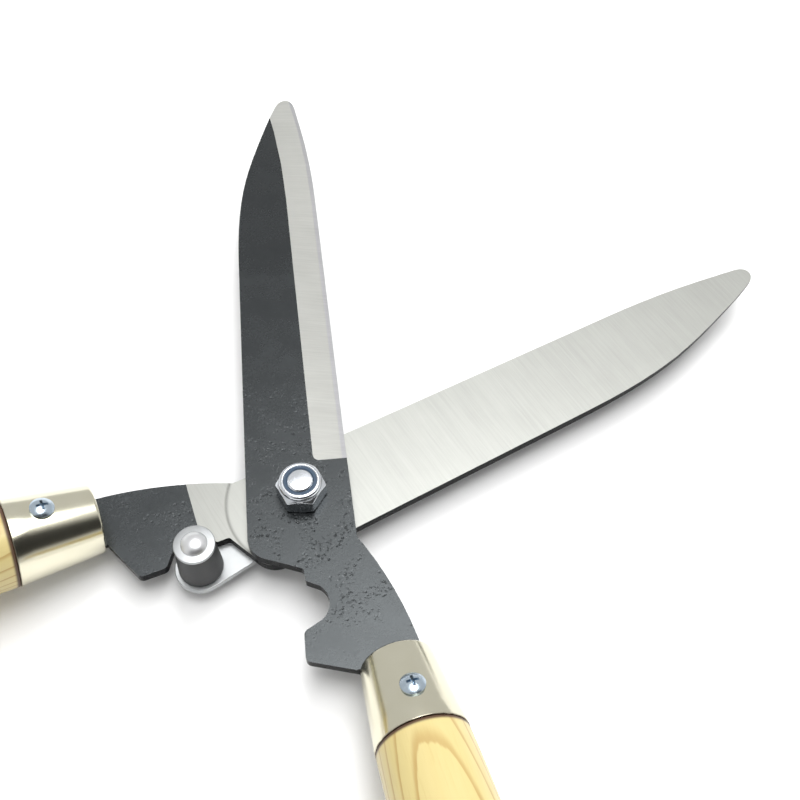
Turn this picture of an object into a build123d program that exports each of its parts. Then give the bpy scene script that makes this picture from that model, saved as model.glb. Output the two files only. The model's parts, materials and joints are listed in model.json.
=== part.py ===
from build123d import *
import os
from collections import namedtuple
from math import atan2, cos, degrees, radians, sin, tan

# Hedge shears: two forged blades on a bolted pivot, a rubber buffer and turned wooden handles.
# Millimetres. The origin is on the pivot axis, in the underside of the bolt's head. +Z runs up the
# bolt, +Y halves the angle between the open blades, and the upper blade leans towards -X.
# Each half is drawn with its pivot at the origin and its tip towards +Y, then swung to its side.

# Whole tool
blade_reach = 221.0            # pivot axis to blade tip
handle_length = 280.0          # wood showing behind the ferrule
blade_spread = 66.0            # angle between the two blades as they lie open

# Blade forging
plate_thickness = 4.0
spine_offset = 21.3            # pivot axis to the straight back of the blade
front_offset = 19.5            # pivot axis to the front side, at the top of the tang
front_length = 20.5            # pivot axis back to where the front side turns into the tang
edge_offset = 18.3             # pivot axis to the cutting edge where the bevel starts
edge_slant = 0.03              # sideways drift of the edge for each millimetre of length
sweep_length = 67.0            # last stretch of the edge, which sweeps back towards the tip
sweep_depth = 5.4
sweep_steps = 3                # sections of the bevel along the sweep
belly_length = 104.0           # curved last stretch of the back
belly_shape = [(0.505, 0.782), (0.774, 0.4)]  # share of its length, share of spine_offset left
tip_round = 5.5                # length of the rounded tip
tip_width = 9.4                # width where the rounded tip begins
tip_lean = 0.2                 # share of tip_round by which the back's end lies further forward
tip_crown = 0.4                # share of tip_width from the front to the tip's foremost point
back_heading = (0.42, 1)       # direction of the back as it meets the rounded tip
front_heading = (0.16, -1)     # direction of the edge as it leaves the rounded tip
taper_length = 112.0           # stretch over which the plate thins towards the tip
tip_thickness = 1.2
bevel_start = 14.0             # pivot axis to the foot of the bevel
bevel_width = 13.1             # cutting edge to the bevel's inner line
bevel_corner = 2.5
hone_width = 1.8               # narrow honed strip along the cutting edge
hone_thickness = 0.9           # steel left at the honed strip's inner line
edge_thickness = 0.35          # steel left at the cutting edge
heel_depth = 23.9              # pivot axis to the heel's corner, measured along the back
heel_slope = 21.2              # angle of the heel's bottom side
heel_radius = 9.5
heel_step = 1.2                # the heel ends this far short of the centre line
step_height = 5.0
step_lean = 0.6
small_corner = 1.2
pad_radius = 29.4              # the raised pad of the inner face begins this far from the pivot
pad_height = 0.15
pad_length = 41.8              # pivot axis to the pad's far side, along the tang
pad_slope = 10.6

# Tang behind the notch
notch_swing = 1.2              # the notch's centre is turned this much from the centre line
notch_half_angle = 50.5        # the notch's arc reaches this far to each side
notch_clearance = 0.07         # steel to the rubber's foot, so that a closed blade clears the rubber
lobe_bottom = 67.4             # pivot axis to the lobe's far corner
lobe_corner = 2.4
tang_inset = 3.3               # the tang's outer side lies this much inside the ferrule's mouth
tang_bow = 2.3                 # outward bow of the tang's outer side

# Spike, the tang's thin end inside the handle
spike_width = 11.0
spike_end_width = 6.0
spike_length = 95.0
spike_clearance = 0.1

# Seat of each handle on its tang: sideways and back from the pivot, height above the middle of
# the plate, and splay away from the blade's centre line. The hand-fitted pair differ a little.
upper_seat_side = 29.4
upper_seat_back = 70.2
upper_seat_height = 0.3
upper_splay = 10.7
lower_seat_side = 30.0
lower_seat_back = 72.2
lower_seat_height = 4.3
lower_splay = 4.5

# Lobe of each tang, hand-finished too: how far its near and far corners pass the centre line, how
# far behind the pivot the near one lies, and how far inside the ferrule's mouth the last side ends
upper_lobe_near = 2.2
upper_lobe_far = 2.2
upper_lobe_top = 56.3
upper_lobe_inset = 0.0
lower_lobe_near = 0.9
lower_lobe_far = -0.4
lower_lobe_top = 57.2
lower_lobe_inset = 3.3

# Both handles
handle_rise = 11.5             # they rise out of the blade plane by this angle
shoulder_gap = 0.1             # tang shoulder to ferrule

# Ferrule
mouth_radius = 13.4
rim_radius = 16.7
ferrule_length = 32.5
ferrule_wall = 0.9
mouth_rounding = 1.2
ferrule_clearance = 0.1        # ferrule to wood

# Handle
wood_inset = 0.1               # the wood stands this much inside the ferrule's rim
neck_flare = 0.04              # outward slope of the wood where it leaves the ferrule
swell_radius = 17.9
swell_distance = 48.0          # ferrule to the thickest place
grip_radius = 15.5
grip_length = 130.0            # straight last stretch
butt_rounding = 9.0

# Ferrule screw, pan head with a cross recess
screw_setback = 19.5           # ferrule mouth to screw
screw_lean = 4.0               # angle of the screw round the ferrule, away from the centre line
screw_head_radius = 4.45
screw_head_height = 2.5
screw_head_rim = 0.7
screw_radius = 2.0
screw_length = 10.0
screw_point = 3.0
screw_clearance = 0.05
recess_width = 1.0
recess_span = 4.4
recess_depth = 1.4

# Pivot bolt and self-locking nut, M10
bolt_radius = 4.95
bore_clearance = 0.05          # running fit on the bolt
head_height = 6.4
bolt_end_chamfer = 0.6
bolt_stand = 0.1               # the bolt's end stands this much above the nut
hexagon_across = 17.0
hexagon_chamfer = 30.0
hexagon_turn = 27.5            # angle of a corner of the nut from +X
nut_height = 10.0
nut_hexagon_height = 7.2
collar_radius = 8.2
collar_wall = 1.9
collar_rounding = 1.0
insert_height = 2.6
insert_inset = 0.35            # nylon below the nut's rim
insert_clearance = 0.02
running_gap = 0.1              # between faces that turn on each other

# Buffer and its bracket
bracket_thickness = 2.5
bracket_end_radius = 10.0
buffer_distance = 45.8         # pivot axis to buffer axis
buffer_swing = 6.0             # angle of the buffer from the lower blade's centre line
buffer_base_radius = 8.5
buffer_top_radius = 7.4
buffer_height = 17.2
buffer_rounding = 0.5
buffer_clearance = 1.3         # the lower tang stays this far from the buffer's foot
washer_radius = 7.7
washer_thickness = 1.4
washer_rounding = 0.3
rivet_radius = 3.0
rivet_clearance = 0.05
rivet_head_radius = 4.9
rivet_head_height = 2.5
rivet_head_rim = 0.3
rivet_foot_radius = 4.6
rivet_foot_height = 2.0

# Levels along the pivot
bracket_level = head_height
lower_level = bracket_level + bracket_thickness
upper_level = lower_level + plate_thickness + running_gap + 2 * pad_height
nut_level = upper_level + plate_thickness + running_gap
bolt_top = nut_level + nut_height + bolt_stand
buffer_level = lower_level
washer_level = buffer_level + buffer_height
head_level = washer_level + washer_thickness

# Sizes that follow from their neighbours
bore_radius = bolt_radius + bore_clearance
rivet_bore = rivet_radius + rivet_clearance
notch_radius = buffer_base_radius + notch_clearance
cone_slope = (rim_radius - mouth_radius) / ferrule_length
cone_angle = degrees(atan2(rim_radius - mouth_radius, ferrule_length))
far = 3 * (blade_reach + handle_length)
middle = Align.CENTER
standing = (middle, middle, Align.MIN)
hanging = (middle, middle, Align.MAX)

Tang = namedtuple("Tang", "side back height splay lobe_near lobe_far lobe_top lobe_inset")


def behind_pivot(distance, swing):
    """Point behind the pivot, turned from the centre line towards the blade's back."""
    return Vector(-distance * sin(radians(swing)), -distance * cos(radians(swing)))


def on_arc(centre, radius, angle):
    """Point on a circle, with its angle measured from +X."""
    return centre + Vector(radius * cos(radians(angle)), radius * sin(radians(angle)))


def half_section(points):
    """Solid turned from the corners of a half section, given as radius and height."""
    return revolve(make_face(Plane.XZ * Polyline(*points, close=True)), Axis.Z)


def washer_shape(radius, bore, height, rounding):
    """Disc with a bore and rounded outer rims."""
    disc = Cylinder(radius, height, align=standing)
    rims = disc.edges().filter_by(GeomType.CIRCLE)
    return fillet(rims, rounding) - Cylinder(bore, far)


def edge_side(along):
    """Sideways place of the cutting edge at a distance from the pivot."""
    into_sweep = max(0.0, along - (blade_reach - sweep_length))
    sweep = sweep_depth * (into_sweep / sweep_length) ** 2
    return edge_offset - edge_slant * (along - bevel_start) - sweep


def outer_level(along):
    """Height of the outer face above the inner face, falling towards the tip."""
    into_taper = max(0.0, along - (blade_reach - taper_length))
    return plate_thickness - (plate_thickness - tip_thickness) * into_taper / taper_length


def blade_face(tang):
    """Outline of blade and tang, which runs on a little behind the ferrule's mouth."""
    # The back, the rounded tip and the cutting edge
    belly = (-spine_offset, blade_reach - belly_length)
    tip_start = blade_reach - tip_round
    tip_front = (edge_side(tip_start), tip_start)
    tip_back = (tip_front[0] - tip_width, tip_start + tip_lean * tip_round)
    curved = [(-left * spine_offset, belly[1] + share * belly_length) for share, left in belly_shape]
    back = Spline(belly, *curved, tip_back, tangents=[(0, 1), back_heading])
    tip = Spline(
        tip_back,
        (tip_front[0] - tip_crown * tip_width, blade_reach),
        tip_front,
        tangents=[back_heading, front_heading],
    )
    sweep_start = blade_reach - sweep_length
    sweep_middle = blade_reach - sweep_length / 2
    edge = Spline(
        tip_front,
        (edge_side(sweep_middle), sweep_middle),
        (edge_side(sweep_start), sweep_start),
        tangents=[front_heading, (edge_slant, -1)],
    )

    # The front side and the tang's outer side, down to the ferrule
    front = (front_offset, -front_length)
    across = Vector(cos(radians(tang.splay)), sin(radians(tang.splay)))
    rearward = Vector(sin(radians(tang.splay)), -cos(radians(tang.splay)))
    seat = Vector(tang.side, -tang.back)
    shoulder = seat + across * (mouth_radius - tang_inset)
    outer_chord = shoulder - Vector(*front)
    bow = Vector(-outer_chord.Y, outer_chord.X).normalized() * tang_bow
    outer = ThreePointArc(front, Vector(*front) + outer_chord * 0.5 + bow, shoulder)

    # The heel, the step, the notch and the lobe
    heel = (-spine_offset, -heel_depth)
    step_top = (-heel_step, -heel_depth - (spine_offset - heel_step) * tan(radians(heel_slope)))
    step_foot = (step_top[0] + step_lean, step_top[1] - step_height)
    centre = behind_pivot(buffer_distance, notch_swing)
    notch_top = on_arc(centre, notch_radius, notch_half_angle)
    notch_deep = on_arc(centre, notch_radius, 0)
    notch_bottom = on_arc(centre, notch_radius, -notch_half_angle)
    inner_shoulder = seat - across * (mouth_radius - tang.lobe_inset)
    lobe_near = (-tang.lobe_near, -tang.lobe_top)
    lobe_far = (-tang.lobe_far, -lobe_bottom)
    lines = [
        Line((edge_side(sweep_start), sweep_start), (edge_offset, bevel_start)),
        Line((edge_offset, bevel_start), front),
        outer,
        Polyline(
            shoulder,
            shoulder + rearward * mouth_radius,
            inner_shoulder + rearward * mouth_radius,
            inner_shoulder,
            lobe_far,
            lobe_near,
            notch_bottom,
        ),
        ThreePointArc(notch_bottom, notch_deep, notch_top),
        Polyline(
            notch_top,
            step_foot,
            step_top,
            heel,
            belly,
        ),
    ]
    face = make_face(Curve() + [back, tip, edge] + lines)

    def corner(x, y):
        return face.vertices().sort_by_distance((x, y, 0))[0]

    face = fillet(corner(*heel), heel_radius)
    face = fillet(corner(*step_top), small_corner)
    face = fillet(corner(*step_foot), small_corner)
    return fillet([corner(*lobe_near), corner(*lobe_far)], lobe_corner)


def bevel_cutter():
    """What the grinding takes off the outer face, from the foot of the bevel past the tip."""
    sweep_start = blade_reach - sweep_length
    taper_start = blade_reach - taper_length
    stations = [bevel_start, taper_start, sweep_start]
    stations += [sweep_start + sweep_length * step / sweep_steps for step in range(1, sweep_steps + 1)]
    stations.append(blade_reach + tip_round)
    sections = []
    for along in stations:
        edge = edge_side(along)
        fall = (hone_thickness - edge_thickness) / hone_width
        beyond = 2 * hone_width
        outline = Polyline(
            (edge - bevel_width, outer_level(along)),
            (edge - hone_width, hone_thickness),
            (edge + beyond, edge_thickness - fall * beyond),
            (edge + beyond, 2 * plate_thickness),
            (edge - bevel_width, 2 * plate_thickness),
            close=True,
        )
        plane = Plane(origin=(0, along, 0), x_dir=(1, 0, 0), z_dir=(0, -1, 0))
        sections.append(make_face(plane * outline))
    cutter = loft(sections, ruled=True)
    inner = edge_side(bevel_start) - bevel_width
    square = Pos(inner, bevel_start) * Rectangle(2 * bevel_corner, 2 * bevel_corner)
    rounding = Pos(inner + bevel_corner, bevel_start + bevel_corner) * Circle(bevel_corner)
    return cutter - extrude(square - rounding, 2 * plate_thickness)


def taper_cutter():
    """Wedge above the outer face, where the plate thins towards the tip."""
    start = blade_reach - taper_length
    end = blade_reach + tip_round
    side = Polyline(
        (start, plate_thickness),
        (end, outer_level(end)),
        (end, 2 * plate_thickness),
        (start, 2 * plate_thickness),
        close=True,
    )
    return extrude(make_face(Plane.YZ * side), blade_reach, both=True)


def pad_face(outline):
    """The raised pad on the inner face, between an arc about the pivot and a line over the tang."""
    cut = Pos(0, -pad_length) * Rot(0, 0, pad_slope) * Pos(0, far / 2) * Rectangle(far, far)
    behind = Pos(0, -far / 2) * Rectangle(far, far)
    return outline & cut & behind - Circle(pad_radius)


def ground_plate(tang):
    """Blade with its tang as forged and ground, inner face down at level 0."""
    outline = blade_face(tang)
    plate = extrude(outline, plate_thickness) - taper_cutter() - bevel_cutter()
    return plate + extrude(pad_face(outline), -pad_height)


def handle_seat(side, tang):
    """Plane in the ferrule's mouth, with Z along the handle and Y upwards."""
    level = cos(radians(handle_rise))
    splay = radians(tang.splay)
    along = Vector(side * sin(splay) * level, -cos(splay) * level, sin(radians(handle_rise)))
    across = Vector(0, 0, 1).cross(along)
    origin = (side * tang.side, -tang.back, plate_thickness / 2 + tang.height)
    return Plane(origin=origin, x_dir=across, z_dir=along)


def spike(height, growth=0.0):
    """Tapered end of the tang along Z, or its hole with some growth all round."""
    root = Pos(0, -height, -shoulder_gap) * Rectangle(
        spike_width + 2 * growth, plate_thickness + 2 * growth
    )
    end = Pos(0, 0, spike_length + growth) * Rectangle(
        spike_end_width + 2 * growth, plate_thickness + 2 * growth
    )
    return loft([root, end])


def make_blade(plate, seat, height):
    """Plate cut off at the ferrule, with its spike and its pivot bore."""
    behind = Pos(0, 0, far / 2 - shoulder_gap) * Box(far, far, far)
    bore = Cylinder(bore_radius, far)
    return plate - seat * behind - bore + seat * spike(height)


def make_ferrule(side, height):
    """Tapered cup with a slot for the spike in its closed end and a hole for the screw."""
    inside_mouth = mouth_radius + cone_slope * ferrule_wall - ferrule_wall
    cup = half_section([
        (0, 0),
        (mouth_radius, 0),
        (rim_radius, ferrule_length),
        (rim_radius - ferrule_wall, ferrule_length),
        (inside_mouth, ferrule_wall),
        (0, ferrule_wall),
    ])
    mouth = cup.edges().filter_by(GeomType.CIRCLE).sort_by(Axis.Z)[0]
    cup = fillet(mouth, mouth_rounding)
    hole = screw_place(side) * Cylinder(screw_radius + 2 * screw_clearance, 3 * screw_head_radius)
    return cup - spike(height, spike_clearance) - hole


def make_handle(side, height):
    """Turned handle: a tapered end in the ferrule, a swell, a straight grip and a round butt."""
    start = ferrule_wall + ferrule_clearance
    inside = ferrule_wall + ferrule_clearance
    shoulder = ferrule_length + ferrule_clearance
    grip_start = ferrule_length + handle_length - grip_length
    butt = ferrule_length + handle_length
    neck = rim_radius - wood_inset
    body = Spline(
        (neck, shoulder),
        (swell_radius, ferrule_length + swell_distance),
        (grip_radius, grip_start),
        tangents=[(neck_flare, 1), (0, 1)],
    )
    ends = Polyline(
        (grip_radius, grip_start),
        (grip_radius, butt),
        (0, butt),
        (0, start),
        (mouth_radius + cone_slope * start - inside, start),
        (rim_radius - inside, ferrule_length),
        (rim_radius - inside, shoulder),
        (neck, shoulder),
    )
    profile = make_face(Plane.XZ * (Curve() + [body, ends]))
    wood = revolve(profile, Axis.Z)
    butt_edge = wood.edges().filter_by(GeomType.CIRCLE).sort_by(Axis.Z)[-1]
    wood = fillet(butt_edge, butt_rounding)
    pilot = screw_place(side) * Cylinder(
        screw_radius + screw_clearance,
        screw_length + screw_clearance,
        align=hanging,
    )
    return wood - spike(height, spike_clearance) - pilot


def screw_place(side):
    """Place of the screw near the ferrule's top, square to its surface, with Z outwards."""
    radius = mouth_radius + cone_slope * screw_setback
    lean = Rot(0, 0, -side * screw_lean)
    return lean * Pos(0, radius, screw_setback) * Rot(-90 - cone_angle, 0, 0)


def dome(radius, rim, height):
    """Domed head with a short upright rim, standing on level 0."""
    rise = height - rim
    sphere = (radius**2 + rise**2) / (2 * rise)
    block = Cylinder(radius, height, align=standing)
    return block & Pos(0, 0, height - sphere) * Sphere(sphere)


def make_screw():
    """Pan head screw, head up, with its underside at level 0."""
    point_start = screw_point - screw_length
    thread = half_section([
        (0, 0),
        (screw_radius, 0),
        (screw_radius, point_start),
        (0, -screw_length),
    ])
    slot = Box(recess_span, recess_width, 2 * recess_depth)
    cross = Pos(0, 0, screw_head_height) * (slot + Rot(0, 0, 90) * slot)
    return dome(screw_head_radius, screw_head_rim, screw_head_height) + thread - cross


def hexagon(height):
    """Hexagon with its corners chamfered at the far end, standing on level 0."""
    corner_radius = hexagon_across / 2 / cos(radians(30))
    fall = (corner_radius - hexagon_across / 2) * tan(radians(hexagon_chamfer))
    prism = extrude(RegularPolygon(corner_radius, 6, rotation=hexagon_turn), height)
    turned = half_section([
        (0, 0),
        (corner_radius, 0),
        (corner_radius, height - fall),
        (hexagon_across / 2, height),
        (0, height),
    ])
    return prism & turned


def make_bolt():
    """Hexagon head bolt, head down, whose shank is the pivot."""
    head = Pos(0, 0, head_height) * Rot(180, 0, 0) * hexagon(head_height)
    shank = Pos(0, 0, head_height) * Cylinder(
        bolt_radius, bolt_top - head_height, align=standing
    )
    end = shank.edges().filter_by(GeomType.CIRCLE).sort_by(Axis.Z)[-1]
    return head + chamfer(end, bolt_end_chamfer)


def make_nut():
    """Self-locking nut, a hexagon with a round collar that holds the nylon ring."""
    collar = Cylinder(collar_radius, nut_height, align=standing)
    rim = collar.edges().filter_by(GeomType.CIRCLE).sort_by(Axis.Z)[-1]
    collar = fillet(rim, collar_rounding)
    floor = nut_height - insert_inset - insert_height
    pocket = Cylinder(collar_radius - collar_wall, far, align=standing)
    nut = hexagon(nut_hexagon_height) + collar - Cylinder(bore_radius, far)
    return Pos(0, 0, nut_level) * (nut - Pos(0, 0, floor) * pocket)


def make_insert():
    """Nylon ring in the nut's collar."""
    radius = collar_radius - collar_wall - insert_clearance
    ring = washer_shape(radius, bore_radius, insert_height - insert_clearance, insert_clearance)
    level = nut_level + nut_height - insert_inset - insert_height + insert_clearance
    return Pos(0, 0, level) * ring


def make_bracket(buffer):
    """Steel strip from the pivot bolt to the buffer."""
    strip = SlotCenterPoint(buffer * 0.5, buffer, 2 * bracket_end_radius)
    holes = Circle(bore_radius) + Pos(buffer) * Circle(rivet_bore)
    return Pos(0, 0, bracket_level) * extrude(strip - holes, bracket_thickness)


def make_buffer():
    """Rubber buffer, a little wider at its foot."""
    cone = Cone(
        buffer_base_radius,
        buffer_top_radius,
        buffer_height,
        align=standing,
    )
    rims = cone.edges().filter_by(GeomType.CIRCLE)
    return fillet(rims, buffer_rounding) - Cylinder(rivet_bore, far)


def make_rivet():
    """Rivet, with a domed head on the washer and a formed foot under the bracket."""
    foot = Cylinder(
        rivet_foot_radius, rivet_foot_height, align=hanging
    )
    foot_rim = foot.edges().filter_by(GeomType.CIRCLE).sort_by(Axis.Z)[0]
    foot = Pos(0, 0, bracket_level) * fillet(foot_rim, rivet_foot_height / 2)
    shank = Pos(0, 0, bracket_level) * Cylinder(
        rivet_radius, head_level - bracket_level, align=standing
    )
    head = Pos(0, 0, head_level) * dome(rivet_head_radius, rivet_head_rim, rivet_head_height)
    return foot + shank + head


def make_half(side, tang):
    """Blade, ferrule, handle and screw of one half, with its blade plate's underside at level 0."""
    plate = ground_plate(tang)
    if side < 0:
        plate = Pos(0, 0, plate_thickness) * Rot(0, 180, 0) * plate
    seat = handle_seat(side, tang)
    return {
        "blade": make_blade(plate, seat, tang.height),
        "ferrule": seat * make_ferrule(side, tang.height),
        "handle": seat * make_handle(side, tang.height),
        "screw": seat * screw_place(side) * make_screw(),
    }


upper_tang = Tang(
    side=upper_seat_side,
    back=upper_seat_back,
    height=upper_seat_height,
    splay=upper_splay,
    lobe_near=upper_lobe_near,
    lobe_far=upper_lobe_far,
    lobe_top=upper_lobe_top,
    lobe_inset=upper_lobe_inset,
)
lower_tang = Tang(
    side=lower_seat_side,
    back=lower_seat_back,
    height=lower_seat_height,
    splay=lower_splay,
    lobe_near=lower_lobe_near,
    lobe_far=lower_lobe_far,
    lobe_top=lower_lobe_top,
    lobe_inset=lower_lobe_inset,
)
upper_place = Rot(0, 0, blade_spread / 2) * Pos(0, 0, upper_level)
lower_turn = Rot(0, 0, -blade_spread / 2)
lower_place = lower_turn * Pos(0, 0, lower_level)

nodes = {}
for piece, shape in make_half(1, upper_tang).items():
    nodes["upper_" + piece] = upper_place * shape
for piece, shape in make_half(-1, lower_tang).items():
    nodes["lower_" + piece] = lower_place * shape

nodes["pivot_bolt"] = make_bolt()
nodes["lock_nut"] = make_nut()
nodes["nut_insert"] = make_insert()

# The lower blade's back is on its +X side, so the buffer swings that way
buffer_spot = behind_pivot(buffer_distance, -buffer_swing)
stack = lower_turn * Pos(buffer_spot)
washer = washer_shape(washer_radius, rivet_bore, washer_thickness, washer_rounding)
nodes["buffer_bracket"] = lower_turn * make_bracket(buffer_spot)
nodes["rubber_buffer"] = stack * Pos(0, 0, buffer_level) * make_buffer()
nodes["buffer_washer"] = stack * Pos(0, 0, washer_level) * washer
nodes["buffer_rivet"] = stack * make_rivet()
relief = Cylinder(buffer_base_radius + buffer_clearance, buffer_height, align=standing)
nodes["lower_blade"] -= stack * Pos(0, 0, buffer_level) * relief

os.makedirs("parts", exist_ok=True)
for name, shape in nodes.items():
    export_step(shape, f"parts/{name}.step")
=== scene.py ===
import json
from math import atan, cos, hypot, pi, radians, sin, sqrt, tan

import bmesh
import bpy
from mathutils import Matrix, Vector


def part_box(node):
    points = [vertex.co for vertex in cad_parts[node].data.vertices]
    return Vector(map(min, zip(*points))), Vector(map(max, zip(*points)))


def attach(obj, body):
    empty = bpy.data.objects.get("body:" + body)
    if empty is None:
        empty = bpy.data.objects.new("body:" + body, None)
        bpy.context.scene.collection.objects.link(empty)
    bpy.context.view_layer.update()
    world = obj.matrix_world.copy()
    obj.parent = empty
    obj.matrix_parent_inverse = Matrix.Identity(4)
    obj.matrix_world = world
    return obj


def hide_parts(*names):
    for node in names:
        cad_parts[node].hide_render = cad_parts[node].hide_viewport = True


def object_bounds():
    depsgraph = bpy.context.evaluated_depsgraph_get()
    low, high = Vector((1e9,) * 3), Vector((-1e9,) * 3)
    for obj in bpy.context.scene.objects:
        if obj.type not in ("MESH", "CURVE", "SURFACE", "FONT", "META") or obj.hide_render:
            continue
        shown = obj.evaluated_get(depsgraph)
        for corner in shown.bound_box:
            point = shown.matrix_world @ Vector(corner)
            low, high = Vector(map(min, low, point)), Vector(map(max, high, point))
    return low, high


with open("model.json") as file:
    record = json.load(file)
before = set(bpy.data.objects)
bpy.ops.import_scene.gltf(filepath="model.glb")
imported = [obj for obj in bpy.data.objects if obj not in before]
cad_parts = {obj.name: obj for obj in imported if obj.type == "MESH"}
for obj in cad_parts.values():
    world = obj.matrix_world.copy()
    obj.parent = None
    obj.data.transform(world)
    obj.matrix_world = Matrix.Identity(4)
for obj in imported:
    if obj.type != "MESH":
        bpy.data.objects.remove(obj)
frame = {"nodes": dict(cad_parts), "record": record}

cad_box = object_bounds()

# Hedge shears: two forged blades on a bolted pivot, a rubber buffer and turned wooden handles.
# Metres, in the frame of the CAD. The origin is on the pivot axis, in the underside of the bolt's
# head, +Z runs up the bolt and +Y halves the angle between the open blades.


# ---- Pivot bolt -------------------------------------------------------------------------------
# The hinge of the shears: a hexagon head bolt, cold headed from steel wire and zinc plated, put in
# from below. Its shank fills the bores of bracket and blades, and its end stands in the lock nut.
millimetre = 0.001
nut_low, nut_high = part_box("lock_nut")
bolt_low, bolt_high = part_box("pivot_bolt")
bracket_low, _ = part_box("buffer_bracket")
corner_radius = nut_high.y
flat_radius = 8.5 * millimetre
hexagon_turn = radians(27.5)
side_sharpness = 60
corner_sharpness = 90
blank_radius = 1.02 * corner_radius
hexagon_round = 0.12 * millimetre
shank_radius = 4.95 * millimetre
shank_chamfer = 0.6 * millimetre
head_height = bracket_low.z - bolt_low.z
head_face_inset = 0.4 * millimetre
head_chamfer = (corner_radius - flat_radius) * tan(radians(30))


def arc(centre_radius, centre_height, radius, start, end, steps):
    """Points of a round corner in a half section, its angles in degrees from the outward side."""
    turns = [radians(start + (end - start) * step / steps) for step in range(steps + 1)]
    return [(centre_radius + radius * cos(t), centre_height + radius * sin(t)) for t in turns]


def turned(profile, segments=96, closed=False):
    """Shape turned about Z from the radius and height of each point of its half section."""
    shape = bmesh.new()
    points = [shape.verts.new((radius, 0, height)) for radius, height in profile]
    ends = points[1:] + points[:1] if closed else points[1:]
    lines = [shape.edges.new(pair) for pair in zip(points, ends)]
    bmesh.ops.spin(
        shape,
        geom=points + lines,
        cent=(0, 0, 0),
        axis=(0, 0, 1),
        angle=2 * pi,
        steps=segments,
        use_merge=True,
    )
    bmesh.ops.remove_doubles(shape, verts=shape.verts, dist=1e-7)
    bmesh.ops.recalc_face_normals(shape, faces=shape.faces)
    return shape


def hexagonal(shape, low, high):
    """Presses the wider part of a turned shape into a hexagon with softly rounded corners."""
    sides = [hexagon_turn + radians(30 + 60 * side) for side in range(6)]
    for point in shape.verts:
        radius = hypot(point.co.x, point.co.y)
        if radius > flat_radius and low <= point.co.z <= high:
            along = [(point.co.x * cos(t) + point.co.y * sin(t)) / radius for t in sides]
            nearest = sum(max(0.0, share) ** side_sharpness for share in along)
            reach = flat_radius / nearest ** (1 / side_sharpness)
            blend = (reach**-corner_sharpness + radius**-corner_sharpness) ** (-1 / corner_sharpness)
            point.co.x *= blend / radius
            point.co.y *= blend / radius


def piece_from(shape, name, finishes, body, nodes, crease=35.0):
    """Scene object from a shape, shaded smooth between its creases, in place of its CAD nodes."""
    mesh = bpy.data.meshes.new(name)
    shape.to_mesh(mesh)
    shape.free()
    piece = bpy.data.objects.new(name, mesh)
    bpy.context.scene.collection.objects.link(piece)
    for finish in finishes:
        mesh.materials.append(finish)
    mesh.shade_smooth()
    mesh.set_sharp_from_angle(angle=radians(crease))
    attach(piece, body)
    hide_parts(*nodes)
    return piece


def soften(piece, width, segments=2, angle=30.0):
    """Small round on every sharp edge, with the flat faces kept flat."""
    bevel = piece.modifiers.new("Rounded edges", "BEVEL")
    bevel.width = width
    bevel.segments = segments
    bevel.limit_method = "ANGLE"
    bevel.angle_limit = radians(angle)
    normals = piece.modifiers.new("Flat faces", "WEIGHTED_NORMAL")
    normals.keep_sharp = False


class Wire:
    """A shader socket that joins in arithmetic, each sum adding its Math nodes."""

    def __init__(self, nodes, socket):
        self.nodes = nodes
        self.socket = socket

    def math(self, operation, first, second):
        return self.nodes.add("Math", {"operation": operation}, {0: first, 1: second})

    def __add__(self, other):
        return self.math("ADD", self, other)

    def __radd__(self, other):
        return self.math("ADD", other, self)

    def __sub__(self, other):
        return self.math("SUBTRACT", self, other)

    def __rsub__(self, other):
        return self.math("SUBTRACT", other, self)

    def __mul__(self, other):
        return self.math("MULTIPLY", self, other)

    def __rmul__(self, other):
        return self.math("MULTIPLY", other, self)

    def __truediv__(self, other):
        return self.math("DIVIDE", self, other)

    def __pow__(self, other):
        return self.math("POWER", self, other)


class Nodes:
    """The node tree of one finish, or of the sky."""

    def __init__(self, tree):
        self.tree = tree
        self.tree.nodes.clear()

    def add(self, kind, settings, sockets, output=0):
        """One node: its settings are made first, and then its sockets get values or wires."""
        node = self.tree.nodes.new("ShaderNode" + kind)
        for name, value in settings.items():
            setattr(node, name, value)
        for name, value in sockets.items():
            if isinstance(value, Wire):
                self.tree.links.new(value.socket, node.inputs[name])
            else:
                node.inputs[name].default_value = value
        return Wire(self, node.outputs[output]) if node.outputs else None

    def rise(self, value, low, high):
        """Smooth step from 0 at low to 1 at high."""
        return self.add(
            "MapRange",
            {"interpolation_type": "SMOOTHSTEP"},
            {"Value": value, "From Min": low, "From Max": high},
        )

    def mix(self, share, first, second):
        """Colour between two colours."""
        colours = [c if isinstance(c, Wire) else (*c, 1) for c in (first, second)]
        return self.add(
            "Mix", {"data_type": "RGBA"}, {0: share, 6: colours[0], 7: colours[1]}, output=2
        )

    def noise(self, place, scale, detail, roughness=0.5):
        """Cloudy pattern between 0 and 1, finer at a greater scale."""
        return self.add(
            "TexNoise",
            {},
            {"Vector": place, "Scale": scale, "Detail": detail, "Roughness": roughness},
        )

    def place(self, turn=(0, 0, 0), origin=(0, 0, 0), size=(1, 1, 1)):
        """Place on the piece in millimetres of its own axes, each divided by its size."""
        return self.add(
            "Mapping",
            {"vector_type": "TEXTURE"},
            {
                "Vector": self.add("TexCoord", {}, {}, output=3),
                "Location": origin,
                "Rotation": turn,
                "Scale": [millimetre * length for length in size],
            },
        )

    def split(self, place):
        """The three parts of a place."""
        node = self.add("SeparateXYZ", {}, {"Vector": place}).socket.node
        return [Wire(self, socket) for socket in node.outputs]

    def bump(self, height, depth):
        """Normal of a surface whose height runs from 0 to 1 over a depth in millimetres."""
        return self.add("Bump", {}, {"Height": height, "Distance": depth * millimetre})


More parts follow.
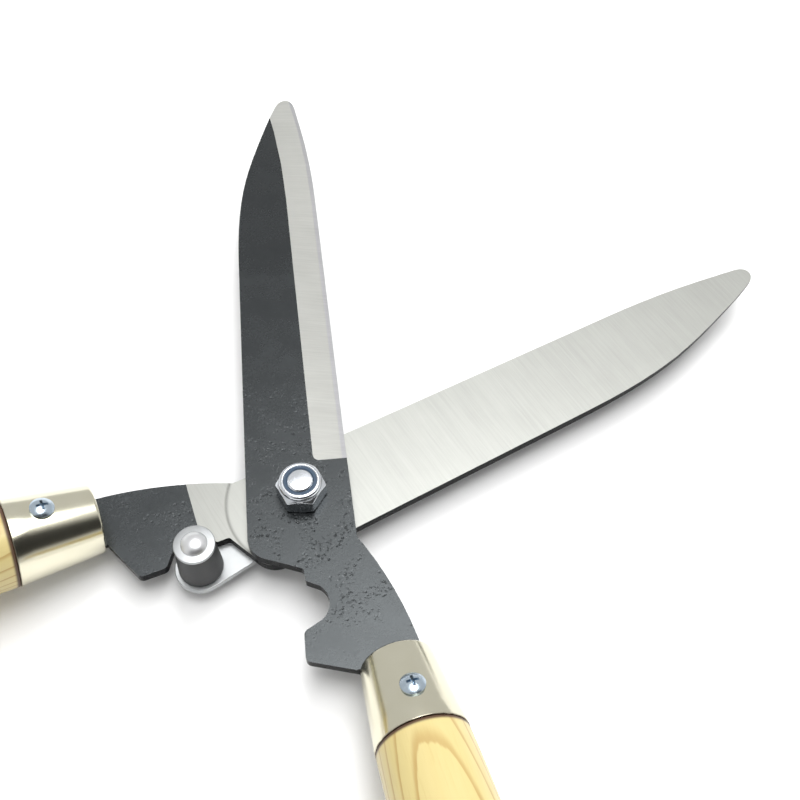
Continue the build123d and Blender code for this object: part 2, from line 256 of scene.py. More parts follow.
def finish(name, surface):
    """Material whose surface function gives the sockets of its Principled shader."""
    material = bpy.data.materials.new(name)
    material.use_nodes = True
    nodes = Nodes(material.node_tree)
    shader = nodes.add("BsdfPrincipled", {}, surface(nodes))
    nodes.add("OutputMaterial", {}, {"Surface": shader})
    return material


def zinc_plate(tone, polish):
    """Bluish zinc plating with a faint grain and cloudy patches."""

    def surface(nodes):
        place = nodes.place()
        cloud = nodes.noise(place, 0.35, 3.0)
        grain = nodes.noise(place, 2.6, 3.0, 0.6)
        return {
            "Base Color": nodes.mix(cloud, [0.84 * part for part in tone], tone),
            "Metallic": 1.0,
            "Roughness": polish + 0.12 * cloud + 0.06 * grain,
            "Normal": nodes.bump(grain, 0.012),
        }

    return surface


bright_zinc = finish("bright_zinc", zinc_plate((0.80, 0.83, 0.87), 0.13))

bolt_profile = [(0, 0), (flat_radius - head_face_inset, 0)]
bolt_profile += [
    (flat_radius + (corner_radius - flat_radius) * step / 6, head_chamfer * step / 6)
    for step in range(7)
]
bolt_profile += [(blank_radius, head_height * share) for share in (0.2, 0.4, 0.6, 0.8, 0.96)]
bolt_profile += [
    (corner_radius, head_height),
    (shank_radius, head_height),
    (shank_radius, bolt_high.z - shank_chamfer),
    (shank_radius - shank_chamfer, bolt_high.z),
    (0, bolt_high.z),
]
bolt_shape = turned(bolt_profile, 144)
hexagonal(bolt_shape, bolt_low.z, bolt_low.z + head_height)
bolt = piece_from(bolt_shape, "bolt", [bright_zinc], "lower_half", ["pivot_bolt"])
soften(bolt, hexagon_round)


# ---- Blades -----------------------------------------------------------------------------------
# Two blades with their tangs, drop forged from carbon steel and blackened. The inner face, the
# bevel and its honed edge are ground bright, and the tang's spike goes into the wooden handle.
# Places on a blade are in millimetres from the pivot, across it towards the edge and along it.
half_spread = radians(33)
blade_tip = 221.0
edge_offset = 18.3
bevel_foot = 14.0
edge_slant = 0.03
sweep_length = 67.0
sweep_depth = 5.4
hone_width = 1.8
hone_share = 0.9
bevel_width = 13.1
bevel_margin = 0.6
edge_land = 4.0
pad_line_start = Vector((27.9, -36.6))
pad_line_slope = 0.187
pad_radius = 29.4
pad_blur = 0.5
pad_rim = 1.1
pitted_tipward = (62.0, 18.0)
pitted_tangward = (-75.0, -25.0)
tip_shade_start = 60.0
tang_shade_full = -12.0
edge_round = 0.35 * millimetre
bore_surround = 6 * millimetre
plane_area = 200 * millimetre**2
scratch_size = (16, 0.22, 4)
stroke_size = (34, 0.9, 8)
band_size = (60, 9, 20)
scale_black, scale_grey = (0.0012, 0.0015, 0.0018), (0.0035, 0.0042, 0.0047)
scale_tint = (0.90, 0.97, 1.0, 1.0)
bare_steel_and_glint = (0.42, 0.42, 0.43)
shaded_steel = (0.12, 0.12, 0.11)
bevel_tone, hone_tone, inner_tone = (0.53, 0.533, 0.505), (0.57, 0.57, 0.585), (0.40, 0.405, 0.382)
black, worn_and_highlit, bevel_steel, hone_steel, inner_steel, shaded_flank = range(6)


def edge_side(along):
    """Sideways place of the cutting edge, in millimetres, at a distance from the pivot."""
    into_sweep = max(0.0, along - (blade_tip - sweep_length))
    return edge_offset - edge_slant * (along - bevel_foot) - sweep_depth * (into_sweep / sweep_length) ** 2


def forged_black(turn, sheen, wear_and_highlight):
    """Blackened forging scale, a little uneven, with small pits and painted glints, and bright on rubbed
    edges, which also stand in as a painted highlight.
    """

    def surface(nodes):
        place = nodes.place((0, 0, turn))
        _, along, _ = nodes.split(place)
        cloud = nodes.noise(place, 0.06, 4.0, 0.6)
        scale = nodes.noise(place, 0.9, 4.0, 0.65)
        fine = nodes.noise(place, 5.0, 2.0)
        cells = nodes.add("TexVoronoi", {}, {"Vector": place, "Scale": 0.42, "Randomness": 1.0})
        near_pivot = nodes.rise(along, *pitted_tipward) * nodes.rise(along, *pitted_tangward)
        patches = nodes.rise(nodes.noise(place, 0.11, 2.0), 0.45, 0.58)
        pits = nodes.rise(cells, 0.26, 0.10) * patches * near_pivot
        dents = nodes.rise(nodes.noise(place, 0.8, 3.0, 0.6), 0.56, 0.68) * patches * near_pivot
        # Painted highlights: light specks near the pivot and fine glints, mixed in as bare steel colour.
        painted_specks = nodes.rise(nodes.noise(place, 1.1, 3.0, 0.7), 0.60, 0.67) * patches * (0.15 + near_pivot)
        painted_glint = nodes.rise(fine, 0.60, 0.72) * nodes.rise(scale, 0.55, 0.7)
        glints_and_wear = 0.10 * painted_glint + 0.22 * painted_specks + wear_and_highlight * nodes.rise(scale + 0.4 * fine, 0.48, 0.78)
        return {
            "Base Color": nodes.mix(glints_and_wear, nodes.mix(cloud, scale_black, scale_grey), bare_steel_and_glint),
            "Roughness": 0.16 + 0.14 * cloud + 0.08 * scale,
            "Specular IOR Level": sheen,
            "Specular Tint": scale_tint,
            "Normal": nodes.bump(0.16 * scale - 1.2 * pits - 0.7 * dents + 0.04 * fine, 0.15),
        }

    return surface


def ground_steel(turn, slant, tone, grit):
    """Steel ground across the blade: fine scratches, broader bands, a satin sheen and painted shade towards
    the tip and behind the pivot.
    """

    def surface(nodes):
        place = nodes.place((0, 0, turn))
        fine = nodes.noise(nodes.place((0, 0, turn + slant), size=scratch_size), 1.0, 3.0, 0.6)
        coarse = nodes.noise(nodes.place((0, 0, turn + slant), size=stroke_size), 1.0, 3.0, 0.6)
        band = nodes.noise(nodes.place((0, 0, turn), size=band_size), 1.0, 2.0)
        blotch = nodes.noise(place, 0.07, 4.0, 0.6)
        shade = 0.42 * fine + 0.28 * coarse + 0.15 * band + 0.15 * blotch
        light = [min(1.0, 1.07 * part) for part in tone]
        dull = [0.90 * part for part in tone]
        across, along, _ = nodes.split(place)
        reach = (across * across + along * along) ** 0.5
        tangward = nodes.rise(along, 2.0, -2.0)
        pad = nodes.rise(reach, pad_radius + pad_blur, pad_radius - pad_blur) * tangward
        rim = (
            nodes.rise(reach, pad_radius - pad_rim, pad_radius)
            * nodes.rise(reach, pad_radius + pad_rim, pad_radius)
            * tangward
        )
        toward_tip = nodes.rise(along, tip_shade_start, blade_tip)
        behind = nodes.rise(along, 0.0, tang_shade_full) * (1 - 0.5 * pad)
        ground = nodes.mix(nodes.rise(shade, 0.32, 0.68), dull, light)
        # Painted shade darkens the steel towards the tip and behind the pivot; the pad's rim is drawn as a
        # dark line.
        darker = nodes.mix(0.10 * toward_tip + 0.6 * rim + 0.22 * behind, ground, shaded_steel)
        return {
            "Base Color": nodes.mix(0.5 * pad, darker, [0.94 * part for part in tone]),
            "Metallic": 1.0,
            "Roughness": grit + 0.14 * fine + 0.05 * band + 0.08 * toward_tip,
            "Normal": nodes.bump((1 - 0.7 * pad) * (fine + 0.6 * coarse) - 4.0 * rim, 0.006),
        }

    return surface


def merged_copy(node):
    """Copy of a CAD node's shape, its loose triangles joined and its flat faces made whole."""
    mesh = frame["nodes"][node].data.copy()
    mesh.attributes.remove(mesh.attributes["custom_normal"])
    shape = bmesh.new()
    shape.from_mesh(mesh)
    bpy.data.meshes.remove(mesh)
    bmesh.ops.remove_doubles(shape, verts=shape.verts, dist=1e-6)
    bmesh.ops.dissolve_limit(
        shape, angle_limit=radians(0.2), verts=shape.verts, edges=shape.edges, delimit={"NORMAL"}
    )
    return shape


def blade_finish(face, turn, side):
    """Which finish a face of the blade has, from its place along and across the blade."""
    centre = Matrix.Rotation(-turn, 3, "Z") @ face.calc_center_median() / millimetre
    normal = Matrix.Rotation(-turn, 3, "Z") @ face.normal
    across, along, outward = centre.x * side, centre.y, normal.z * side
    inside_edge = edge_side(along) - across
    if abs(outward) < 0.4:
        return bevel_steel if along > bevel_foot and inside_edge < edge_land else shaded_flank
    if outward < -0.9:
        tang = along < pad_line_start.y - pad_line_slope * (pad_line_start.x - across)
        return black if tang else inner_steel
    if along > bevel_foot and inside_edge < bevel_width + bevel_margin:
        return hone_steel if inside_edge < hone_share * hone_width else bevel_steel
    return black


for half, side in (("upper", 1), ("lower", -1)):
    turn = side * half_spread
    blade_shape = merged_copy(half + "_blade")
    for face in blade_shape.faces:
        face.material_index = blade_finish(face, turn, side)
    forged = [
        edge
        for edge in blade_shape.edges
        if edge.calc_face_angle(0) > radians(50)
        and any(face.material_index in (black, shaded_flank) for face in edge.link_faces)
        and hypot(*edge.verts[0].co.xy) > bore_surround
        and not all(abs(face.normal.z) < 0.5 for face in edge.link_faces)
    ]
    bmesh.ops.bevel(
        blade_shape,
        geom=forged,
        affect="EDGES",
        offset=edge_round,
        segments=3,
        profile=0.5,
        material=worn_and_highlit,
        clamp_overlap=True,
    )
    blade = piece_from(
        blade_shape,
        half + "_blade_forging",
        [
            finish(half + "_forged_black", forged_black(turn, 0.75, 0.0)),
            # Rounded edge strip: bare steel where rubbed, partly real wear and partly a painted highlight
            # along the edges.
            finish(half + "_worn_highlit_edge", forged_black(turn, 0.9, 0.9)),
            finish(half + "_bevel_steel", ground_steel(turn, 0.0, bevel_tone, 0.32)),
            finish(half + "_hone_steel", ground_steel(turn, 0.0, hone_tone, 0.26)),
            finish(half + "_inner_steel", ground_steel(turn, 0.05, inner_tone, 0.30)),
            # Blade sides: the black with its reflection almost turned off, as painted shade.
            finish(half + "_flank", forged_black(turn, 0.06, 0.0)),
        ],
        half + "_half",
        [half + "_blade"],
        crease=40.0,
    )
    finishes_at = {}
    for face in blade.data.polygons:
        face.use_smooth = face.area < plane_area
        for key in face.edge_keys:
            finishes_at.setdefault(key, set()).add(face.material_index)
    for edge in blade.data.edges:
        if len(finishes_at[edge.key]) > 1 and worn_and_highlit not in finishes_at[edge.key]:
            edge.use_edge_sharp = True
    normals = blade.modifiers.new("Flat faces", "WEIGHTED_NORMAL")
    normals.keep_sharp = True


# ---- Buffer bracket ---------------------------------------------------------------------------
# A strip of steel plate stamped with round ends and zinc plated. The pivot bolt clamps one end under
# the lower blade, and the other end carries the buffer.
bracket_round = 0.35 * millimetre
matt_zinc = finish("matt_zinc", zinc_plate((0.47, 0.485, 0.49), 0.27))

bracket = piece_from(
    merged_copy("buffer_bracket"),
    "bracket",
    [matt_zinc],
    "lower_half",
    ["buffer_bracket"],
    crease=40.0,
)
soften(bracket, bracket_round, segments=3, angle=50.0)


# ---- Lock nut and nylon ring ------------------------------------------------------------------
# A self-locking nut of zinc plated steel: a hexagon whose round collar is rolled over a ring of
# dark blue nylon. It holds the upper blade on the bolt and sets how freely the shears turn.
collar_radius = 8.2 * millimetre
collar_wall = 1.9 * millimetre
collar_round = 1.4 * millimetre
lip_round = 0.45 * millimetre
waist_radius = 8.0 * millimetre
waist_start = 0.25 * millimetre
waist_end = 0.6 * millimetre
hexagon_height = 7.2 * millimetre
foot_inset = 0.6 * millimetre
foot_chamfer = 0.25 * millimetre
foot_rise = 0.8 * millimetre
crown_rise = 1.5 * head_chamfer
nut_bore_radius = 1.03 * shank_radius
ring_low, ring_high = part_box("nut_insert")
hexagon_top = nut_low.z + hexagon_height
corner_reach = corner_radius - flat_radius
pocket_radius = collar_radius - collar_wall

nut_profile = [
    (nut_bore_radius, nut_low.z),
    (flat_radius - foot_inset, nut_low.z),
    (flat_radius, nut_low.z + foot_chamfer),
]
for share in (0.2, 0.4, 0.6, 0.8, 1.0):
    nut_profile.append((flat_radius + corner_reach * share, nut_low.z + foot_chamfer + foot_rise * share))
for share in (0.2, 0.4, 0.6, 0.78):
    nut_profile.append((blank_radius, nut_low.z + hexagon_height * share))
for step in range(9):
    inward = step / 8
    nut_profile.append((corner_radius - corner_reach * inward, hexagon_top - crown_rise * (1 - inward)))
nut_profile += [(waist_radius, hexagon_top + waist_start), (waist_radius, hexagon_top + waist_end)]
nut_profile += arc(collar_radius - collar_round, nut_high.z - collar_round, collar_round, -25, 90, 10)
nut_profile += arc(pocket_radius + lip_round, nut_high.z - lip_round, lip_round, 90, 180, 5)
nut_profile += [(pocket_radius, ring_low.z), (nut_bore_radius, ring_low.z)]
nut_shape = turned(nut_profile, 144, closed=True)
hexagonal(nut_shape, nut_low.z, hexagon_top)
piece_from(nut_shape, "hexagon_nut", [bright_zinc], "lower_half", ["lock_nut"])

ring_inner = shank_radius + 0.03 * millimetre
ring_chamfer = 0.3 * millimetre
nylon_dark, nylon_blue = (0.012, 0.03, 0.06), (0.03, 0.06, 0.10)


def dyed_nylon(nodes):
    """Moulded nylon, dark blue, with a dull skin."""
    place = nodes.place()
    cloud = nodes.noise(place, 0.8, 3.0)
    return {
        "Base Color": nodes.mix(cloud, nylon_dark, nylon_blue),
        "Roughness": 0.34 + 0.16 * cloud,
        "Normal": nodes.bump(nodes.noise(place, 4.0, 2.0), 0.015),
    }


ring_profile = [
    (ring_inner, ring_low.z),
    (ring_high.x, ring_low.z),
    (ring_high.x, ring_high.z),
    (ring_inner + ring_chamfer, ring_high.z),
    (ring_inner, ring_high.z - ring_chamfer),
]
piece_from(
    turned(ring_profile, closed=True),
    "nylon_ring",
    [finish("dyed_nylon", dyed_nylon)],
    "lower_half",
    ["nut_insert"],
)


# ---- Buffer, washer and rivet -----------------------------------------------------------------
# A moulded rubber buffer stands on the bracket and takes the blow when the shears close. A zinc
# plated washer covers it, and a rivet with a domed head goes through both and through the bracket.
rubber_low, rubber_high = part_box("rubber_buffer")
washer_low, washer_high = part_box("buffer_washer")
rivet_low, rivet_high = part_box("buffer_rivet")
stack_centre = Vector(((rubber_low.x + rubber_high.x) / 2, (rubber_low.y + rubber_high.y) / 2, 0))
rubber_radius = (rubber_high.x - rubber_low.x) / 2
rubber_top_radius = 7.4 * millimetre
rubber_round = 0.5 * millimetre
rubber_bulge = 0.12 * millimetre
rivet_radius = 3.0 * millimetre
mould_line_size = (40, 40, 0.7)
rubber_black, rubber_grey = (0.016, 0.017, 0.018), (0.034, 0.035, 0.036)


def moulded_rubber(nodes):
    """Black rubber with a grey bloom and the fine marks of its mould."""
    place = nodes.place(origin=stack_centre)
    bloom = nodes.noise(place, 0.22, 4.0, 0.6)
    skin = nodes.noise(place, 3.0, 3.0, 0.6)
    rings = nodes.noise(nodes.place(origin=stack_centre, size=mould_line_size), 1.0, 2.0)
    return {
        "Base Color": nodes.mix(bloom, rubber_black, rubber_grey),
        "Roughness": 0.44 + 0.20 * bloom,
        "Normal": nodes.bump(0.6 * skin + 0.4 * rings, 0.05),
    }


rubber_profile = [(rivet_radius, rubber_low.z)]
rubber_profile += arc(rubber_radius - rubber_round, rubber_low.z + rubber_round, rubber_round, -90, 0, 4)
for share in (0.12, 0.3, 0.5, 0.7, 0.88):
    straight = rubber_radius + (rubber_top_radius - rubber_radius) * share
    level = rubber_low.z + (rubber_high.z - rubber_low.z) * share
    rubber_profile.append((straight + rubber_bulge * sin(pi * share), level))
rubber_profile += arc(rubber_top_radius - rubber_round, rubber_high.z - rubber_round, rubber_round, 0, 90, 4)
rubber_profile += [(rivet_radius, rubber_high.z)]
rubber_shape = turned(rubber_profile, closed=True)
rubber_shape.transform(Matrix.Translation(stack_centre))
piece_from(
    rubber_shape,
    "buffer",
    [finish("moulded_rubber", moulded_rubber)],
    "lower_half",
    ["rubber_buffer"],
    crease=60.0,
)

washer_radius = (washer_high.x - washer_low.x) / 2
washer_round = 0.3 * millimetre
washer_profile = [(rivet_radius, washer_low.z)]
washer_profile += arc(washer_radius - washer_round, washer_low.z + washer_round, washer_round, -90, 0, 4)
washer_profile += arc(washer_radius - washer_round, washer_high.z - washer_round, washer_round, 0, 90, 4)
washer_profile += [(rivet_radius, washer_high.z)]
washer_shape = turned(washer_profile, closed=True)
washer_shape.transform(Matrix.Translation(stack_centre))
piece_from(
    washer_shape, "washer", [matt_zinc], "lower_half", ["buffer_washer"], crease=60.0
)

rivet_head_radius = 4.9 * millimetre
rivet_rim = 0.3 * millimetre
rivet_foot_radius = 4.6 * millimetre
rivet_foot_round = 0.9 * millimetre
satin_zinc = finish("satin_zinc", zinc_plate((0.93, 0.94, 0.95), 0.28))


def dome(radius, rim, base, top, steps=12):
    """Half section of a domed head: a short upright rim and a spherical cap up to the axis."""
    rise = top - base - rim
    sphere = (radius**2 + rise**2) / (2 * rise)
    points = [(radius, base)]
    for step in range(steps + 1):
        reach = radius * (1 - step / steps)
        points.append((reach, top - sphere + sqrt(sphere**2 - reach**2)))
    return points


rivet_profile = [(0, rivet_low.z)]
rivet_profile += arc(
    rivet_foot_radius - rivet_foot_round, rivet_low.z + rivet_foot_round, rivet_foot_round, -90, 0, 5
)
rivet_profile += [
    (rivet_foot_radius, bracket_low.z),
    (rivet_radius, bracket_low.z),
    (rivet_radius, washer_high.z),
]
rivet_profile += dome(rivet_head_radius, rivet_rim, washer_high.z, rivet_high.z)
rivet_shape = turned(rivet_profile)
rivet_shape.transform(Matrix.Translation(stack_centre))
piece_from(
    rivet_shape, "rivet", [satin_zinc], "lower_half", ["buffer_rivet"], crease=50.0
)


# ---- Ferrules ---------------------------------------------------------------------------------
# A tapered cup drawn from sheet steel and nickel plated, one on each handle. The tang's spike goes
# through a slot in its closed end, and its open end grips the wood.
mouth_radius = 13.4 * millimetre
rim_radius = 16.7 * millimetre
ferrule_length = 32.5 * millimetre
ferrule_wall = 0.9 * millimetre
mouth_round = 1.2 * millimetre
rim_round = 0.3 * millimetre
lip_inset = 0.1 * millimetre
corner_inset = 0.3 * millimetre
tarnish_and_shade_start = ferrule_length / millimetre - 0.6
tarnish_and_shade_full = ferrule_length / millimetre + 0.2
mouth_to_grip = 243 * millimetre
rub_size = (9, 9, 0.5)
nickel_dull, nickel_bright = (0.70, 0.67, 0.52), (0.78, 0.75, 0.61)
tarnish_and_shade_brown = (0.10, 0.06, 0.035)
cup_slope = atan((rim_radius - mouth_radius) / ferrule_length)


def handle_seat(half):
    """Place of a handle: origin in the ferrule's mouth, Z along the wood and Y upwards."""
    grip = next(m for m in frame["record"]["mounts"] if m["name"] == half + "_grip")
    along = Vector(grip["axis"]).normalized()
    across = Vector((0, 0, 1)).cross(along).normalized()
    origin = Vector(grip["pos_m"]) - along * mouth_to_grip
    turn = Matrix((across, along.cross(across), along)).transposed()
    return Matrix.Translation(origin) @ turn.to_4x4()


seats = {half: handle_seat(half) for half in ("upper", "lower")}


def nickel_plate(half):
    """Warm nickel plating, drawn smooth round the cup, with faint rubbed streaks."""

    def surface(nodes):
        turn = tuple(seats[half].to_euler())
        origin = tuple(seats[half].translation)
        place = nodes.place(turn, origin)
        streak = nodes.noise(nodes.place(turn, origin, rub_size), 1.0, 3.0, 0.6)
        cloud = nodes.noise(place, 0.10, 3.0)
        grain = nodes.noise(place, 3.4, 2.0)
        tarnish = nodes.noise(place, 0.35, 4.0, 0.6)
        _, _, along = nodes.split(place)
        # The ferrule's end at the wood is brown in patches: partly tarnish, partly painted shade of the gap
        # to the wood.
        ends = nodes.rise(along, tarnish_and_shade_start, tarnish_and_shade_full) * nodes.rise(tarnish, 0.25, 0.6)
        return {
            "Base Color": nodes.mix(ends, nodes.mix(cloud, nickel_dull, nickel_bright), tarnish_and_shade_brown),
            "Metallic": 1.0,
            "Roughness": 0.15 + 0.01 * streak + 0.04 * cloud + 0.3 * ends,
            "Normal": nodes.bump(0.3 * streak + 0.5 * grain, 0.002),
        }

    return surface


cup_inside = ferrule_wall / cos(cup_slope)
cup_profile = [(0, ferrule_wall), (0, 0)]
cup_profile += arc(mouth_radius - mouth_round, mouth_round, mouth_round, -90, 0, 8)
cup_profile += [
    (mouth_radius + (rim_radius - mouth_radius) * share, ferrule_length * share)
    for share in (0.2, 0.4, 0.6, 0.8)
]
cup_profile += arc(rim_radius - rim_round, ferrule_length - rim_round, rim_round, 0, 90, 4)
cup_profile += [
    (rim_radius - cup_inside + lip_inset, ferrule_length),
    (rim_radius - cup_inside, ferrule_length - rim_round),
    (mouth_radius - cup_inside + corner_inset, 2 * ferrule_wall),
    (mouth_radius - 2 * cup_inside, ferrule_wall),
]
for half in ("upper", "lower"):
    cup_shape = turned(cup_profile, 128, closed=True)
    cup_shape.transform(seats[half])
    piece_from(
        cup_shape,
        half + "_cup",
        [finish(half + "_nickel_plate", nickel_plate(half))],
        half + "_half",
        [half + "_ferrule"],
        crease=40.0,
    )


# ---- Handles ----------------------------------------------------------------------------------
# Turned from a pale hardwood, sanded and clear varnished: a taper driven into the ferrule, a swell
# behind it, a straight grip and a round butt.
handle_length = 280 * millimetre
grip_length = 130 * millimetre
grip_radius = 15.5 * millimetre
swell_radius = 17.9 * millimetre
swell_distance = 48 * millimetre
butt_round = 9 * millimetre
neck_radius = rim_radius - 0.1 * millimetre
neck_round = 0.8 * millimetre
wood_clearance = 0.1 * millimetre
taper_margin = 0.2 * millimetre
ring_spacing = 2.8
ring_wander = 5.0
ring_ripple = 1.2
wander_size = (16, 16, 70)
flame_size = (7, 7, 60)
fibre_size = (0.7, 0.7, 18)
pore_size = (0.35, 0.35, 5)
wood_straw, wood_cream = (0.49, 0.40, 0.155), (0.54, 0.45, 0.21)
late_wood = (0.36, 0.235, 0.07)
fibre_brown = (0.43, 0.31, 0.115)
joint_stain_and_shade = (0.07, 0.035, 0.018)
stain_and_shade_end = ferrule_length / millimetre + 2.1
stain_and_shade_full = ferrule_length / millimetre + 0.9
grain = {"upper": ((-0.5, -39.5), -0.055), "lower": ((-4.0, -37.0), -0.05)}


def varnished_wood(half, heart, drift):
    """Pale wood whose growth rings cut the surface in long arches, under a clear varnish."""

    def surface(nodes):
        turn = tuple(seats[half].to_euler())
        origin = tuple(seats[half].translation)
        place = nodes.place(turn, origin)
        across, up, along = nodes.split(place)
        wander = nodes.noise(nodes.place(turn, origin, wander_size), 1.0, 2.0)
        fibre = nodes.noise(nodes.place(turn, origin, fibre_size), 1.0, 4.0, 0.6)
        pore = nodes.noise(nodes.place(turn, origin, pore_size), 1.0, 2.0)
        flame = nodes.noise(nodes.place(turn, origin, flame_size), 1.0, 3.0, 0.55)
        side = across - heart[0] - ring_wander * (wander - 0.5)
        depth = up - heart[1] - drift * along
        ring = ((side * side + depth * depth) ** 0.5 + ring_ripple * (flame - 0.5)) / ring_spacing
        share = nodes.add("Math", {"operation": "FRACT"}, {0: ring})
        late = nodes.rise(share, 0.66, 0.93) * nodes.rise(share, 1.0, 0.94)
        cloud = nodes.noise(place, 0.035, 3.0)
        pale = nodes.mix(flame, wood_straw, wood_cream)
        grained = nodes.mix(0.85 * late * (0.5 + cloud), pale, late_wood)
        lined = nodes.mix(0.35 * nodes.rise(fibre, 0.5, 0.8), grained, fibre_brown)
        # Darker wood next to the ferrule, with less varnish: partly a stain in the joint, partly painted
        # shade of the gap under the rim.
        stained_shaded_joint = nodes.rise(along, stain_and_shade_end, stain_and_shade_full)
        return {
            "Base Color": nodes.mix(stained_shaded_joint, lined, joint_stain_and_shade),
            "Roughness": 0.42 + 0.18 * fibre,
            "Coat Weight": 0.55 - 0.5 * stained_shaded_joint,
            "Coat Roughness": 0.16,
            "Normal": nodes.bump(0.6 * fibre + 0.4 * pore - 0.5 * late, 0.02),
        }

    return surface


def eased(share):
    """Smooth step between 0 and 1."""
    return share * share * (3 - 2 * share)


taper_inside = cup_inside + wood_clearance
wood_start = ferrule_wall + wood_clearance
swell_height = ferrule_length + swell_distance
grip_start = ferrule_length + handle_length - grip_length
butt = ferrule_length + handle_length
wood_profile = [
    (0, wood_start),
    (mouth_radius - 2 * taper_inside, wood_start),
    (rim_radius - taper_inside, ferrule_length - taper_margin),
    (rim_radius - taper_inside, ferrule_length + wood_clearance),
]
wood_profile += arc(
    neck_radius - neck_round, ferrule_length + wood_clearance + neck_round, neck_round, -90, 0, 6
)
neck_height = ferrule_length + neck_round + wood_clearance
for step in range(1, 15):
    share = step / 14
    radius = neck_radius + (swell_radius - neck_radius) * (1 - (1 - share) ** 2)
    wood_profile.append((radius, neck_height + (swell_height - neck_height) * share))
for step in range(1, 21):
    share = step / 20
    radius = swell_radius + (grip_radius - swell_radius) * eased(share)
    wood_profile.append((radius, swell_height + (grip_start - swell_height) * share))
wood_profile += [
    (grip_radius, grip_start + (grip_length - butt_round) * share) for share in (0.25, 0.5, 0.75)
]
wood_profile += arc(grip_radius - butt_round, butt - butt_round, butt_round, 0, 90, 12)
wood_profile += [(0, butt)]
for half in ("upper", "lower"):
    wood_shape = turned(wood_profile, 128)
    wood_shape.transform(seats[half])
    piece_from(
        wood_shape,
        half + "_wood",
        [finish(half + "_varnished_wood", varnished_wood(half, *grain[half]))],
        half + "_half",
        [half + "_handle"],
        crease=50.0,
    )


# ---- Ferrule screws ---------------------------------------------------------------------------
# A pan head screw with a cross recess, cold headed and zinc plated, driven through each ferrule
# into the wood so that the handle can't work loose.
screw_setback = 19.5 * millimetre
screw_lean = radians(4)
screw_head_radius = 4.45 * millimetre
screw_head_height = 2.5 * millimetre
screw_head_rim = 0.7 * millimetre
screw_radius = 2.0 * millimetre
screw_length = 10 * millimetre
screw_point = 3 * millimetre
recess_span = 4.4 * millimetre
recess_width = 1.0 * millimetre
recess_depth = 1.9 * millimetre
recess_taper = 0.40
blue_zinc = finish("blue_zinc", zinc_plate((0.56, 0.66, 0.75), 0.16))

for half, side in (("upper", 1), ("lower", -1)):
    screw_profile = [(0, -screw_length), (screw_radius, screw_point - screw_length), (screw_radius, 0)]
    screw_profile += dome(screw_head_radius, screw_head_rim, 0, screw_head_height, 16)
    screw_shape = turned(screw_profile, 96)
    for offset in (-recess_span / 2, -recess_width / 2, recess_width / 2, recess_span / 2):
        for normal in ((1, 0, 0), (0, 1, 0)):
            head = [
                part
                for kind in (screw_shape.verts, screw_shape.edges, screw_shape.faces)
                for part in kind
                if all(v.co.z > screw_head_rim for v in ([part] if hasattr(part, "co") else part.verts))
            ]
            bmesh.ops.bisect_plane(
                screw_shape, geom=head, dist=1e-7, plane_co=Vector(normal) * offset, plane_no=normal
            )
    recess = [
        face
        for face in screw_shape.faces
        if face.normal.z > 0.3
        and max(map(abs, face.calc_center_median().xy)) < recess_span / 2
        and min(map(abs, face.calc_center_median().xy)) < recess_width / 2
    ]
    sunk = bmesh.ops.extrude_face_region(screw_shape, geom=recess)
    bmesh.ops.delete(screw_shape, geom=recess, context="FACES")
    floor_points = [part for part in sunk["geom"] if isinstance(part, bmesh.types.BMVert)]
    for point in floor_points:
        point.co.x *= recess_taper
        point.co.y *= recess_taper
        point.co.z = screw_head_height - recess_depth
    cup_radius = mouth_radius + (rim_radius - mouth_radius) * screw_setback / ferrule_length
    stand = (
        Matrix.Rotation(-side * screw_lean, 4, "Z")
        @ Matrix.Translation((0, cup_radius, screw_setback))
        @ Matrix.Rotation(-pi / 2 - cup_slope, 4, "X")
    )
    screw_shape.transform(seats[half] @ stand)
    piece_from(
        screw_shape,
        half + "_pan_screw",
        [blue_zinc],
        half + "_half",
        [half + "_screw"],
        crease=40.0,
    )


# ---- Floor, light and camera ------------------------------------------------------------------
# A plain white table under a wide white sky, with one soft box overhead and a broad window to the
# north. The room to the south-east is dark, which gives the plated parts their dark bands, and the
# fill that comes from there lights matt surfaces only.
floor_gap = 0.3 * millimetre
floor_level = cad_box[0].z - floor_gap
floor_half_width = 4.0
table_grey, table_white = (0.76, 0.76, 0.76), (0.78, 0.78, 0.78)
floor_shape = bmesh.new()
bmesh.ops.create_grid(floor_shape, x_segments=4, y_segments=4, size=floor_half_width)
bmesh.ops.translate(floor_shape, verts=floor_shape.verts, vec=(0, 0, floor_level))
floor_mesh = bpy.data.meshes.new("table")
floor_shape.to_mesh(floor_mesh)
floor_shape.free()
floor = bpy.data.objects.new("table", floor_mesh)
bpy.context.scene.collection.objects.link(floor)


def white_table(nodes):
    """White laminate with a faint mottle."""
    cloud = nodes.noise(nodes.place(), 0.02, 2.0)
    return {
        "Base Color": nodes.mix(cloud, table_grey, table_white),
        "Roughness": 0.6 + 0.1 * cloud,
        "Specular IOR Level": 0.2,
    }


floor_mesh.materials.append(finish("white_table", white_table))

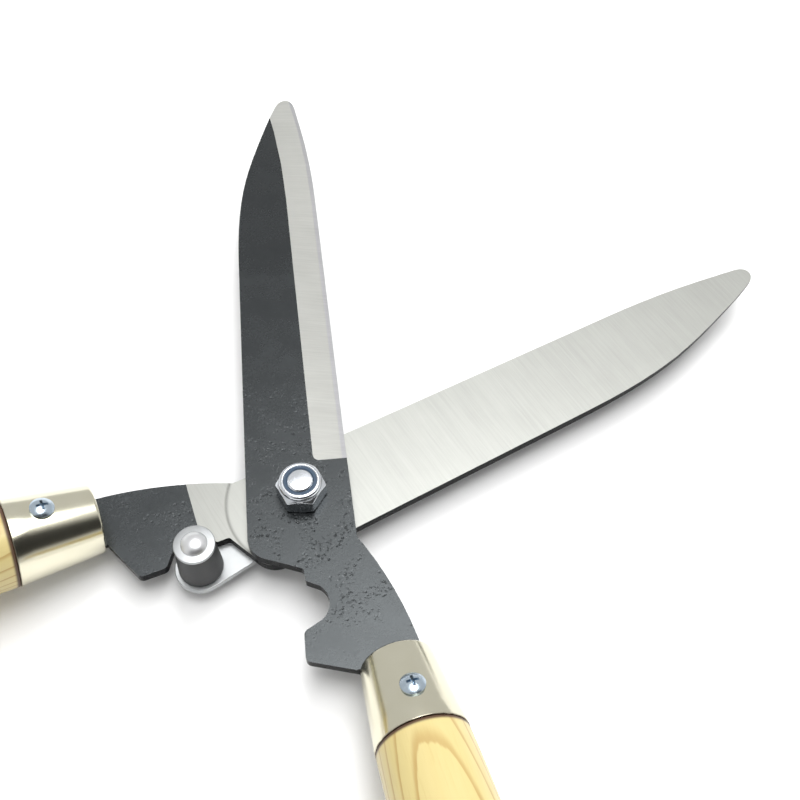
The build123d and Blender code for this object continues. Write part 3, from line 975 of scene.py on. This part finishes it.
world = bpy.data.worlds.new("studio")
world.use_nodes = True
bpy.context.scene.world = world
sky = Nodes(world.node_tree)
white_sky = 0.66
soft_box_strength = 5.2
soft_box_aim = Vector((0.04, 0.16, 1.0)).normalized()
darkness = 0.95
fill_strength = 0.5
direction = sky.add("TexCoord", {}, {}, output=0)
east, north, height = sky.split(direction)
south_east = (0.77 * east - 0.64 * north) / (1.001 - height * height) ** 0.5
dark_room = (
    sky.rise(south_east, cos(radians(68)), cos(radians(45)))
    * sky.rise(height, sin(radians(8)), sin(radians(20)))
    * sky.rise(height, sin(radians(72)), sin(radians(60)))
)
agreement = sky.add("VectorMath", {"operation": "DOT_PRODUCT"}, {0: direction, 1: soft_box_aim}, output=1)
soft_box = soft_box_strength * sky.rise(agreement, cos(radians(24.5)), cos(radians(19)))
room = (white_sky + soft_box) * (1 - darkness * dark_room)
on_matt_surface = sky.add("LightPath", {}, {}, output=2)
fill = on_matt_surface * sky.rise(south_east, cos(radians(95)), cos(radians(60)))
strength = room + fill_strength * fill
background = sky.add("Background", {}, {"Color": (1.0, 1.0, 1.0, 1), "Strength": strength})
sky.add("OutputWorld", {}, {"Surface": background})

window_direction = Vector((-0.20, 0.80, 0.80))
window = bpy.data.lights.new("window", "SUN")
window.angle = radians(32)
window.energy = 2.2
window_lamp = bpy.data.objects.new("window", window)
window_lamp.matrix_world = window_direction.to_track_quat("Z", "Y").to_matrix().to_4x4()
window_lamp.visible_glossy = False
bpy.context.scene.collection.objects.link(window_lamp)

camera_data = bpy.data.cameras.new("camera")
camera_data.lens = 52.95
camera_data.sensor_width = 36.0
camera = bpy.data.objects.new("camera", camera_data)
bpy.context.scene.collection.objects.link(camera)
camera_place = Matrix.Translation((0.13518, -0.17742, 0.41147))
camera_aim = (
    Matrix.Rotation(radians(27.565), 4, "Z")
    @ Matrix.Rotation(radians(33.642), 4, "X")
    @ Matrix.Rotation(radians(-0.335), 4, "Z")
)
camera.matrix_world = camera_place @ camera_aim
camera_data.clip_start = 0.01
bpy.context.scene.camera = camera
bpy.context.scene.view_settings.view_transform = "Standard"
